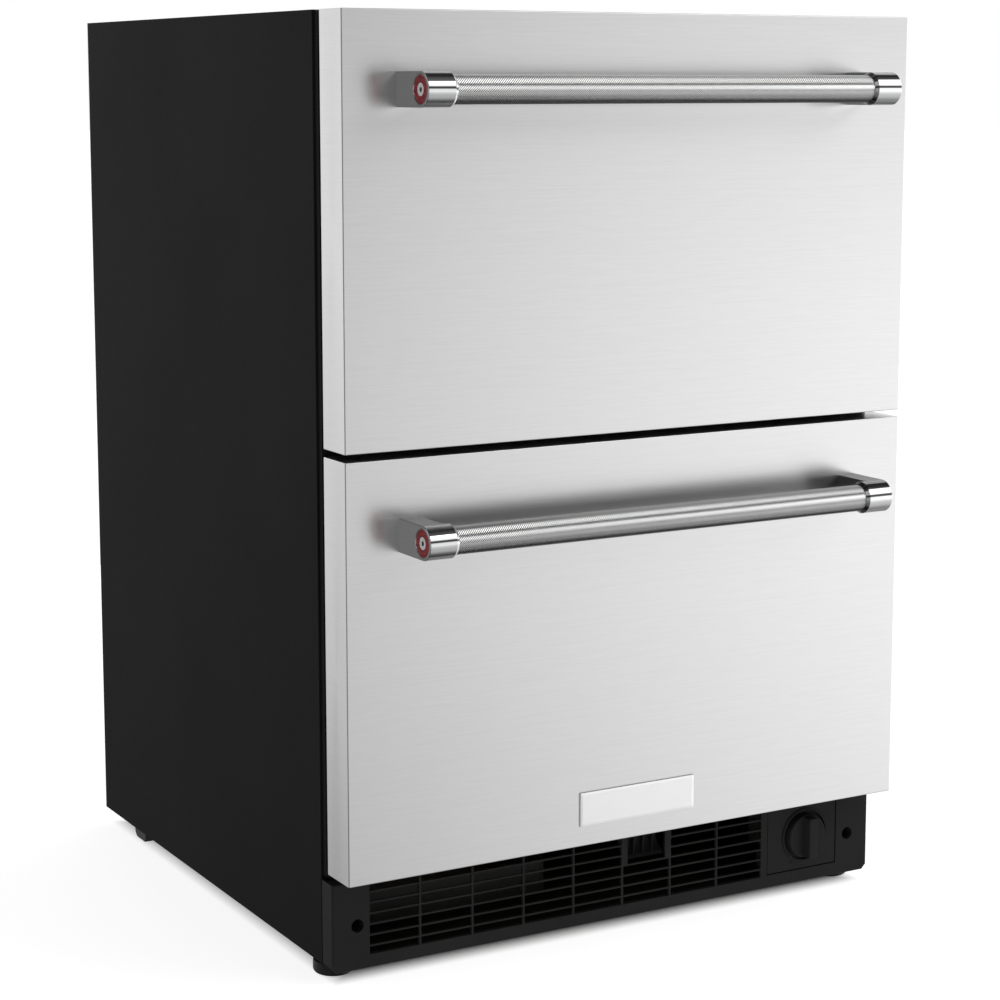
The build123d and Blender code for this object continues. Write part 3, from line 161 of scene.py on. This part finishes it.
class Finish(Tree):
    """One procedural material round a Principled BSDF."""

    def __init__(self, name, **values):
        self.material = bpy.data.materials.new(name)
        self.material.use_nodes = True
        super().__init__(self.material.node_tree)
        self.bsdf = self.nodes["Principled BSDF"]
        for socket, value in values.items():
            self.bsdf.inputs[socket.replace("_", " ")].default_value = value

    def place(self, x, y, z):
        """Object coordinates stretched to so many features per metre along each axis."""
        coordinates = self.add("ShaderNodeTexCoord")
        mapping = self.add("ShaderNodeMapping")
        self.put(mapping.inputs["Vector"], coordinates.outputs["Object"])
        mapping.inputs["Scale"].default_value = (x, y, z)
        return mapping.outputs[0]

    def noise(self, per_metre, detail=2.0, roughness=0.5):
        """Soft random pattern; per_metre is one number, or one for each axis."""
        scales = per_metre if isinstance(per_metre, tuple) else (per_metre,) * 3
        node = self.add("ShaderNodeTexNoise")
        self.put(node.inputs["Vector"], self.place(*scales))
        node.inputs["Scale"].default_value = 1.0
        node.inputs["Detail"].default_value = detail
        node.inputs["Roughness"].default_value = roughness
        return node.outputs[0]

    def cells(self, per_metre, output="Distance"):
        """Irregular cells; Distance grows from each cell's centre and Color is flat in each."""
        node = self.add("ShaderNodeTexVoronoi")
        self.put(node.inputs["Vector"], self.place(*(per_metre,) * 3))
        node.inputs["Scale"].default_value = 1.0
        return node.outputs[output]

    def colour(self, pattern, dark, light, low=0.3, high=0.7):
        """Base colour from dark, where the pattern is at low, to light, where it is at high."""
        self.put(self.bsdf.inputs["Base Color"], self.mix(self.span(pattern, low, high), dark, light))

    def rough(self, pattern, smooth, rough, low=0.3, high=0.7):
        """Roughness from smooth to rough in the same way."""
        self.put(self.bsdf.inputs["Roughness"], self.span(pattern, low, high, smooth, rough))

    def bump(self, *layers):
        """Raises the surface by each (pattern, millimetres) layer in turn."""
        normal = None
        for pattern, height in layers:
            node = self.add("ShaderNodeBump")
            node.inputs["Distance"].default_value = height * MM
            self.put(node.inputs["Height"], pattern)
            if normal is not None:
                self.put(node.inputs["Normal"], normal)
            normal = node.outputs[0]
        self.put(self.bsdf.inputs["Normal"], normal)

    def paint_facing_shade(self, stops):
        """Painted shade: darkens the base colour by how far the surface faces up (1) or down (-1)."""
        split = self.add("ShaderNodeSeparateXYZ")
        self.put(split.inputs[0], self.add("ShaderNodeNewGeometry").outputs["Normal"])
        base = self.bsdf.inputs["Base Color"]
        level = self.ramp(split.outputs["Z"], -1, 1, stops)
        self.put(base, self.mix(level, grey(0.0), base.links[0].from_socket))

    def grain(self, axis):
        """The direction of the brushing, for a metal that spreads light across its grain."""
        tangent = self.add("ShaderNodeTangent", direction_type="RADIAL", axis=axis)
        self.put(self.bsdf.inputs["Tangent"], tangent.outputs[0])


# ---------------------------------------------------------------- materials


def cabinet_paint():
    """Black powder coat on sheet steel."""
    look = Finish("cabinet_paint", Specular_IOR_Level=0.03)
    peel, drift = look.noise(900, 3), look.noise(5, 3)
    look.colour(drift, grey(0.0085), grey(0.0115))
    look.rough(peel, 0.46, 0.58)
    look.bump((peel, 0.03), (look.noise(160), 0.04))
    return look.material


def galvanised_steel():
    """Zinc-coated sheet with its frosted spangle."""
    look = Finish("galvanised_steel", Metallic=1.0)
    spangle, frost = look.cells(90, output="Color"), look.noise(600, 3)
    look.colour(spangle, grey(0.36, 0.01), grey(0.56, 0.01), 0.1, 0.9)
    look.rough(spangle, 0.38, 0.55, 0.1, 0.9)
    look.bump((frost, 0.02))
    return look.material


def foam():
    """Poured polyurethane, cut edge."""
    look = Finish("foam", Roughness=0.95)
    pores = look.cells(900)
    look.colour(look.noise(40, 4), (0.72, 0.58, 0.30, 1), (0.86, 0.74, 0.45, 1))
    look.bump((pores, 0.3))
    return look.material


def moulding(name, dark, light, low, high, texture, depth, **values):
    """Moulded plastic with a fine eroded texture from its tool."""
    look = Finish(name, **values)
    fine, drift = look.noise(texture, 3), look.noise(9, 3)
    look.colour(drift, dark, light)
    look.rough(fine, low, high)
    look.bump((fine, depth), (drift, 0.15))
    return look.material


def liner_plastic():
    """Near-white plastic of the liner, the evaporator's cover and the drawers' inner panels."""
    return moulding("liner_plastic", grey(0.56, 0.006), grey(0.66, 0.006), 0.28, 0.38, 1500, 0.02)


def bin_plastic():
    """White plastic of the drawer boxes."""
    return moulding("bin_plastic", grey(0.70, 0.006), grey(0.80, 0.006), 0.2, 0.3, 1100, 0.012)


def machine_plastic():
    """Dark plastic of the fans, their motors, the drain pan, the thermostat and the cord inlet."""
    return moulding("machine_plastic", grey(0.030), grey(0.050), 0.5, 0.68, 1700, 0.04)


def grille_plastic():
    """Black plastic of the toe grille, its finger scoop and the dial."""
    look = Finish("grille_plastic", Specular_IOR_Level=0.04)
    fine, drift = look.noise(1900, 2), look.noise(12, 3)
    look.colour(drift, grey(0.019), grey(0.024))
    look.rough(fine, 0.36, 0.5)
    look.bump((fine, 0.025), (drift, 0.1))
    return look.material


def foot_plastic():
    """Black plastic of the feet and the rear glides."""
    return moulding("foot_plastic", grey(0.010), grey(0.016), 0.36, 0.5, 1300, 0.03,
                    Specular_IOR_Level=0.3)


def fin_aluminium():
    """Thin rolled fins, a little bruised."""
    look = Finish("fin_aluminium", Metallic=1.0)
    look.colour(look.noise((700, 60, 60), 3), grey(0.60, 0.01), grey(0.82, 0.01))
    look.rough(look.noise(400, 3), 0.24, 0.42)
    look.bump((look.noise((60, 60, 900), 2), 0.02))
    return look.material


def machine_black():
    """Dipped black enamel on the compressor and the condenser's shroud."""
    look = Finish("machine_black", Coat_Weight=0.4, Coat_Roughness=0.12)
    runs = look.noise((60, 60, 18), 3)
    look.colour(runs, grey(0.010), grey(0.020))
    look.rough(look.noise(300, 3), 0.22, 0.36)
    look.bump((runs, 0.2), (look.noise(900, 2), 0.02))
    return look.material


def copper():
    """Drawn tube, stained by heat near its brazed ends."""
    look = Finish("copper", Metallic=1.0)
    stain = look.noise(45, 4, 0.6)
    look.colour(stain, (0.40, 0.17, 0.08, 1), (0.82, 0.42, 0.24, 1), 0.35, 0.62)
    look.rough(stain, 0.42, 0.2)
    look.bump((look.noise(700, 2), 0.01))
    return look.material


def lamp_cover():
    """Opal diffuser with fine prisms."""
    look = Finish("lamp_cover", Subsurface_Weight=0.3, Coat_Weight=0.3)
    prisms = look.add("ShaderNodeTexWave", wave_type="BANDS", bands_direction="X")
    look.put(prisms.inputs["Vector"], look.place(80, 80, 80))
    look.colour(look.noise(30, 2), grey(0.80), grey(0.90))
    look.rough(look.noise(600, 2), 0.2, 0.32)
    look.bump((prisms.outputs["Fac"], 0.2))
    return look.material


def zinc_steel():
    """Bright zinc plate over rolled steel."""
    look = Finish("zinc_steel", Metallic=1.0)
    roll = look.noise((900, 14, 900), 3)
    look.colour(roll, grey(0.50, 0.015), grey(0.66, 0.015))
    look.rough(look.noise(250, 4), 0.24, 0.42)
    look.bump((roll, 0.012))
    return look.material


def brushed_stainless():
    """Steel brushed along X, with long and short strokes."""
    look = Finish("brushed_stainless", Metallic=1.0, Anisotropic=0.55)
    look.grain("X")
    short, long = look.noise((30, 30, 1300), 2, 0.6), look.noise((9, 9, 700), 3, 0.65)
    strokes = look.math("ADD", look.math("MULTIPLY", short, 0.55), look.math("MULTIPLY", long, 0.45))
    look.colour(strokes, grey(0.795), grey(0.85), 0.32, 0.68)
    look.rough(long, 0.275, 0.30)
    look.bump((short, 0.007), (long, 0.007))
    return look.material


# Painted shade: bright metal in front of the drawers has its base colour darkened on its tops and
# undersides, standing in for the dim ceiling and floor they would reflect.
PAINTED_FACING_SHADE = ((-1, 0.22), (-0.9, 0.22), (-0.75, 1.0), (0.55, 1.0), (0.75, 0.25), (1, 0.25))


def badge_metal():
    """Bright satin plate."""
    look = Finish("badge_metal", Metallic=0.55)
    satin = look.noise((300, 300, 900), 2)
    look.colour(satin, grey(0.96), grey(1.0))
    # Painted shade on the plate's tops and undersides.
    look.paint_facing_shade(PAINTED_FACING_SHADE)
    look.rough(satin, 0.16, 0.22)
    look.bump((satin, 0.001))
    return look.material


def gasket_rubber():
    """Soft black vinyl, dulled by handling."""
    look = Finish("gasket_rubber", Specular_IOR_Level=0.25, Sheen_Weight=0.15, Sheen_Roughness=0.5)
    dust = look.noise(70, 4, 0.6)
    look.colour(dust, grey(0.008), grey(0.016))
    look.rough(dust, 0.6, 0.8)
    look.bump((look.noise(1400, 2), 0.03))
    return look.material


def knurled_steel():
    """Satin steel with painted shade between the diamonds' crests, where its base colour darkens; the
    diamonds are in the mesh.
    """
    look = Finish("knurled_steel", Metallic=1.0)
    wear = look.noise(120, 3)
    look.colour(wear, grey(0.92), grey(0.97))
    base = look.bsdf.inputs["Base Color"]
    # Painted shade: off the crests, in the knurl's valleys, the base colour darkens to grey 0.64.
    crest = look.add("ShaderNodeAttribute", attribute_name="crest").outputs["Fac"]
    look.put(base, look.mix(crest, grey(0.64), base.links[0].from_socket))
    # Painted shade on the bar's top and underside.
    look.paint_facing_shade(PAINTED_FACING_SHADE)
    look.rough(wear, 0.21, 0.25)
    look.bump((look.noise(2600, 2), 0.004))
    return look.material


def handle_chrome():
    """Polished plate with hairline wiping marks."""
    look = Finish("handle_chrome", Metallic=1.0)
    hairs = look.noise((1500, 90, 90), 3, 0.6)
    look.colour(look.noise(20, 2), grey(0.80, 0.004), grey(0.84, 0.004))
    # Painted shade on the chrome's tops and undersides.
    look.paint_facing_shade(PAINTED_FACING_SHADE)
    look.rough(hairs, 0.035, 0.075)
    look.bump((hairs, 0.0006))
    return look.material


def red_enamel():
    """Deep red glass enamel under a clear coat."""
    look = Finish("red_enamel", Coat_Weight=0.5, Coat_Roughness=0.04)
    flow = look.noise(220, 3)
    look.colour(flow, (0.14, 0.003, 0.006, 1), (0.27, 0.007, 0.011, 1))
    look.rough(flow, 0.2, 0.3)
    look.bump((flow, 0.02))
    return look.material


FINISHES = {make.__name__: make() for make in (
    cabinet_paint, galvanised_steel, foam, liner_plastic, bin_plastic, fin_aluminium, machine_black,
    machine_plastic, copper, lamp_cover, grille_plastic, foot_plastic, zinc_steel, brushed_stainless,
    gasket_rubber, knurled_steel, handle_chrome, red_enamel, badge_metal)}


def finish_nodes():
    """Gives each CAD node the material of its slot."""
    for part in frame["record"]["subparts"]:
        node = frame["nodes"][part["node"]]
        node.material_slots[0].material = FINISHES[part["material_slot"]]


# ---------------------------------------------------------------- pieces


def new_piece(name, mesh, slots, body):
    """A finished mesh as an object that rides on a body; the first slot names its finish."""
    mesh.normal_update()
    data = bpy.data.meshes.new(name)
    mesh.to_mesh(data)
    mesh.free()
    obj = bpy.data.objects.new(name, data)
    bpy.context.scene.collection.objects.link(obj)
    for slot in slots:
        data.materials.append(FINISHES[slot])
    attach(obj, body)
    return obj


def ring_of(mesh, x, radii, centre):
    """A ring of points round the X axis through centre; radii gives each point's radius."""
    count = len(radii)
    turn = 2 * math.pi / count
    points = []
    for i, radius in enumerate(radii):
        y = centre.y - radius * math.cos(turn * i)
        z = centre.z + radius * math.sin(turn * i)
        points.append(mesh.verts.new((x, y, z)))
    return points


def skin_rings(mesh, first, second, material=0):
    """Quads between two rings with the same number of points."""
    count = len(first)
    for i in range(count):
        j = (i + 1) % count
        face = mesh.faces.new((first[i], first[j], second[j], second[i]))
        face.material_index = material


def knurled_bar(level):
    """The handle bar with a diamond knurl: neighbouring points stand high and low in turn.

    The crest attribute is 1 on the high points; the steel paints shade on the low points between them.
    """
    node = f"{level}_handle_bar"
    low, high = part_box(node)
    centre = (low + high) / 2
    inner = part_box(f"{level}_handle_end_right")[0].x
    mesh = bmesh.new()
    crest = mesh.verts.layers.float.new("crest")
    steps = 2 * round((inner - NECK_LENGTH) / KNURL_STEP)
    half = KNURL_STEP * steps / 2
    neck = half + NECK_LENGTH / 2
    plain = [NECK_RADIUS] * KNURL_AROUND
    rings = [ring_of(mesh, x, plain, centre) for x in (low.x, -neck)]
    for i in range(steps + 1):
        radii = [BAR_RADIUS - KNURL_DEPTH * ((i + j) % 2) for j in range(KNURL_AROUND)]
        ring = ring_of(mesh, -half + KNURL_STEP * i, radii, centre)
        for j, vertex in enumerate(ring):
            vertex[crest] = (i + j + 1) % 2
        rings.append(ring)
    rings += [ring_of(mesh, x, plain, centre) for x in (neck, high.x)]
    for first, second in zip(rings, rings[1:]):
        skin_rings(mesh, first, second)
    mesh.faces.new(rings[0][::-1])
    mesh.faces.new(rings[-1])
    bmesh.ops.recalc_face_normals(mesh, faces=mesh.faces)
    bar = new_piece(f"{level}_knurled_bar", mesh, ["knurled_steel"], f"{level}_drawer")
    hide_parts(node)


# Medallion outline from its rim to its centre: radius and depth below the outer face, in
# millimetres, and the material of the band that starts there.
ENAMEL, RIM, RING, CENTRE = range(4)
MEDALLION_RADIUS = 13.2
MEDALLION_DEPTH = 1.5
MEDALLION_BANDS = (
    (MEDALLION_RADIUS, 0.25, RIM), (12.95, 0.0, RIM), (12.45, 0.0, RIM), (12.2, 0.3, ENAMEL),
    (11.2, 0.5, ENAMEL), (10.4, 0.35, ENAMEL), (5.9, 0.35, ENAMEL), (5.6, 0.2, RING), (2.5, 0.2, RING),
    (2.2, 0.45, CENTRE), (0.6, 0.5, CENTRE),
)
MEDALLION_POINTS = 96


def medallions(level):
    """A chrome rim round red enamel, with a pale ring and a dark centre, in each end's outer face."""
    node = f"{level}_handle_medallions"
    low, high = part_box(node)
    centre = (low + high) / 2
    mesh = bmesh.new()
    for face_x, inward in ((low.x, 1), (high.x, -1)):
        back = face_x + inward * MEDALLION_DEPTH * MM
        first = ring_of(mesh, back, [MEDALLION_RADIUS * MM] * MEDALLION_POINTS, centre)
        cap = mesh.faces.new(first)
        cap.material_index = RIM
        last, band = first, RIM
        for radius, depth, material in MEDALLION_BANDS:
            ring = ring_of(mesh, face_x + inward * depth * MM, [radius * MM] * MEDALLION_POINTS, centre)
            skin_rings(mesh, last, ring, band)
            last, band = ring, material
        cap = mesh.faces.new(last)
        cap.material_index = band
    bmesh.ops.recalc_face_normals(mesh, faces=mesh.faces)
    slots = ["red_enamel", "handle_chrome", "badge_metal", "machine_plastic"]
    piece = new_piece(f"{level}_medallion_faces", mesh, slots, f"{level}_drawer")
    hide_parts(node)


# Section of the drawer seal: distance in from its outer edge and height off the inner panel, in
# millimetres. It has a narrow foot, one fold, and the wide strip that meets the front frame.
SEAL_SECTION = (
    (2, 0), (12, 0), (12, 1.2), (9.5, 2.1), (9.5, 3.1), (13.2, 4.2), (14, 5.0), (14, 7.1), (13.4, 7.6),
    (0.6, 7.6), (0, 7.1), (0, 5.0), (0.8, 4.2), (4.5, 3.1), (4.5, 2.1), (2, 1.2),
)
SEAL_WIDTH = 14
SEAL_CORNERS = (10, 4)
SEAL_CORNER_STEPS = 8


def seal_loop(mesh, centre, half_x, half_z, inset, y):
    """Points round a rounded rectangle, that far in from the seal's outer edge."""
    outer, inner = SEAL_CORNERS
    radius = (outer - (outer - inner) * inset / SEAL_WIDTH) * MM
    reach_x = half_x - inset * MM - radius
    reach_z = half_z - inset * MM - radius
    points = []
    for quarter, (side_x, side_z) in enumerate(((1, 1), (-1, 1), (-1, -1), (1, -1))):
        for i in range(SEAL_CORNER_STEPS + 1):
            turn = math.pi / 2 * (quarter + i / SEAL_CORNER_STEPS)
            points.append(mesh.verts.new((centre.x + side_x * reach_x + radius * math.cos(turn), y,
                                          centre.z + side_z * reach_z + radius * math.sin(turn))))
    return points


def drawer_seal(level):
    """The drawer's magnetic seal, folded the way the real extrusion is."""
    node = f"{level}_gasket"
    low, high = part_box(node)
    centre, half = (low + high) / 2, (high - low) / 2
    mesh = bmesh.new()
    loops = [seal_loop(mesh, centre, half.x, half.z, inset, low.y + height * MM)
             for inset, height in SEAL_SECTION]
    for first, second in zip(loops, loops[1:] + loops[:1]):
        skin_rings(mesh, first, second)
    bmesh.ops.recalc_face_normals(mesh, faces=mesh.faces)
    seal = new_piece(f"{level}_folded_seal", mesh, ["gasket_rubber"], f"{level}_drawer")
    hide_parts(node)


def build_pieces():
    """Each drawer's knurled bar, medallions and seal."""
    for level in LEVELS:
        knurled_bar(level)
        medallions(level)
        drawer_seal(level)


# ---------------------------------------------------------------- studio and camera

# What a polished surface sees towards the front, by elevation in degrees: a floor that falls off to
# black underfoot, a dark gap above the horizon, one broad soft box, and a dim ceiling.
FRONT_LIGHT = (
    (-90, 0.02), (-64, 0.03), (-57, 0.10), (-46, 0.30), (-30, 0.44), (-18, 0.70), (-11, 1.0), (-1, 0.95),
    (3, 0.80), (6, 0.07), (16, 0.07), (20, 1.05), (44, 1.15), (47, 0.07), (62, 0.07), (90, 0.15),
)
# The same towards the back.
BACK_LIGHT = (
    (-90, 0.03), (-45, 0.12), (-20, 0.40), (-9, 0.86), (-3, 0.92), (20, 0.95), (45, 0.5), (60, 0.12),
    (90, 0.20),
)
# How strong either is round the object: 0 is the front, 90 the right side, -90 the left side.
ROUND_LIGHT = (
    (-180, 0.9), (-150, 0.95), (-112, 0.70), (-80, 0.16), (-62, 0.14), (-56, 0.42), (-33, 0.36),
    (-20, 0.16), (8, 0.34), (22, 0.72), (38, 1.36), (55, 1.7), (110, 1.2), (150, 0.95), (180, 0.9),
)
# Where the back's light gives way to the front's.
FRONT_SHARE = ((-180, 0.0), (-110, 0.0), (-80, 1.0), (120, 1.0), (145, 0.0), (180, 0.0))


def studio_light():
    """The room: soft light all round as a function of direction, and plain white behind the object."""
    world = bpy.data.worlds.new("studio")
    bpy.context.scene.world = world
    world.use_nodes = True
    sky = Tree(world.node_tree)
    output = sky.nodes["World Output"]
    split = sky.add("ShaderNodeSeparateXYZ")
    sky.put(split.inputs[0], sky.add("ShaderNodeTexCoord").outputs["Generated"])
    x, y, z = split.outputs
    elevation = sky.math("MULTIPLY", sky.math("ARCSINE", z), 180 / math.pi)
    azimuth = sky.math("MULTIPLY", sky.math("ARCTAN2", x, sky.math("MULTIPLY", y, -1.0)), 180 / math.pi)
    front = sky.ramp(elevation, -90, 90, FRONT_LIGHT)
    back = sky.ramp(elevation, -90, 90, BACK_LIGHT)
    share = sky.ramp(azimuth, -180, 180, FRONT_SHARE, smooth=True)
    strength = sky.ramp(azimuth, -180, 180, ROUND_LIGHT)
    room = sky.nodes["Background"]
    sky.put(room.inputs["Color"], sky.mix(share, back, front))
    sky.put(room.inputs["Strength"], strength)
    white = sky.add("ShaderNodeBackground")
    white.inputs["Color"].default_value = grey(1.0)
    mixer = sky.add("ShaderNodeMixShader")
    sky.put(mixer.inputs[0], sky.add("ShaderNodeLightPath").outputs["Is Camera Ray"])
    sky.put(mixer.inputs[1], room.outputs[0])
    sky.put(mixer.inputs[2], white.outputs[0])
    sky.put(output.inputs["Surface"], mixer.outputs[0])


def floor_paint():
    """Pale matt paint with a faint mottle and a faint glow; the glow is cut out over the cabinet's
    footprint, a painted shadow under it.
    """
    look = Finish("floor", Roughness=0.9, Specular_IOR_Level=0.1)
    look.bsdf.inputs["Emission Color"].default_value = grey(1.0)
    look.colour(look.noise(3, 2), grey(0.86), grey(0.90))
    split = look.add("ShaderNodeSeparateXYZ")
    look.put(split.inputs[0], look.place(1, 1, 1))
    low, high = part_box("base_pan")
    low.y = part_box("toe_grille")[0].y
    centre, half = (low + high) / 2, (high - low) / 2
    beyond = []
    for axis in (0, 1):
        away = look.math("ABSOLUTE", look.math("SUBTRACT", split.outputs[axis], centre[axis]))
        beyond.append(look.math("SUBTRACT", away, half[axis]))
    outside = look.math("MAXIMUM", *beyond)
    # Painted shadow: no glow well inside the footprint of the base pan and toe grille, rising to the full
    # glow at its edge.
    look.put(look.bsdf.inputs["Emission Strength"], look.span(outside, -SHADE_EDGE, 0.0, 0.0, FLOOR_GLOW))
    return look.material


def floor():
    """The floor, which polished surfaces don't show: their light has a floor of its own."""
    mesh = bmesh.new()
    bmesh.ops.create_circle(mesh, cap_ends=True, segments=FLOOR_POINTS, radius=FLOOR_RADIUS)
    data = bpy.data.meshes.new("floor")
    mesh.to_mesh(data)
    mesh.free()
    data.materials.append(floor_paint())
    obj = bpy.data.objects.new("floor", data)
    bpy.context.scene.collection.objects.link(obj)
    obj.visible_glossy = False


def key_light():
    """A soft box that faces the middle of the refrigerator."""
    light = bpy.data.lights.new("key_box", "AREA")
    light.shape = "SQUARE"
    light.size = KEY_SIZE
    light.energy = KEY_POWER
    obj = bpy.data.objects.new("key_box", light)
    bpy.context.scene.collection.objects.link(obj)
    target = (CAD_LOW + CAD_HIGH) / 2
    obj.location = KEY_PLACE
    obj.rotation_euler = (target - obj.location).to_track_quat("-Z", "Y").to_euler()


def camera():
    """The main view, with part of the upright perspective made by shifting the lens."""
    data = bpy.data.cameras.new("camera")
    data.lens = CAMERA_LENS
    data.shift_y = CAMERA_SHIFT
    obj = bpy.data.objects.new("camera", data)
    bpy.context.scene.collection.objects.link(obj)
    obj.location = CAMERA_PLACE
    obj.rotation_euler = (math.radians(90 - CAMERA_PITCH), 0, math.radians(-CAMERA_YAW))
    bpy.context.scene.camera = obj


camera()
studio_light()
key_light()
floor()
finish_nodes()
build_pieces()
bpy.context.scene.view_settings.view_transform = "Standard"
bpy.context.scene.cycles.glossy_bounces = 1
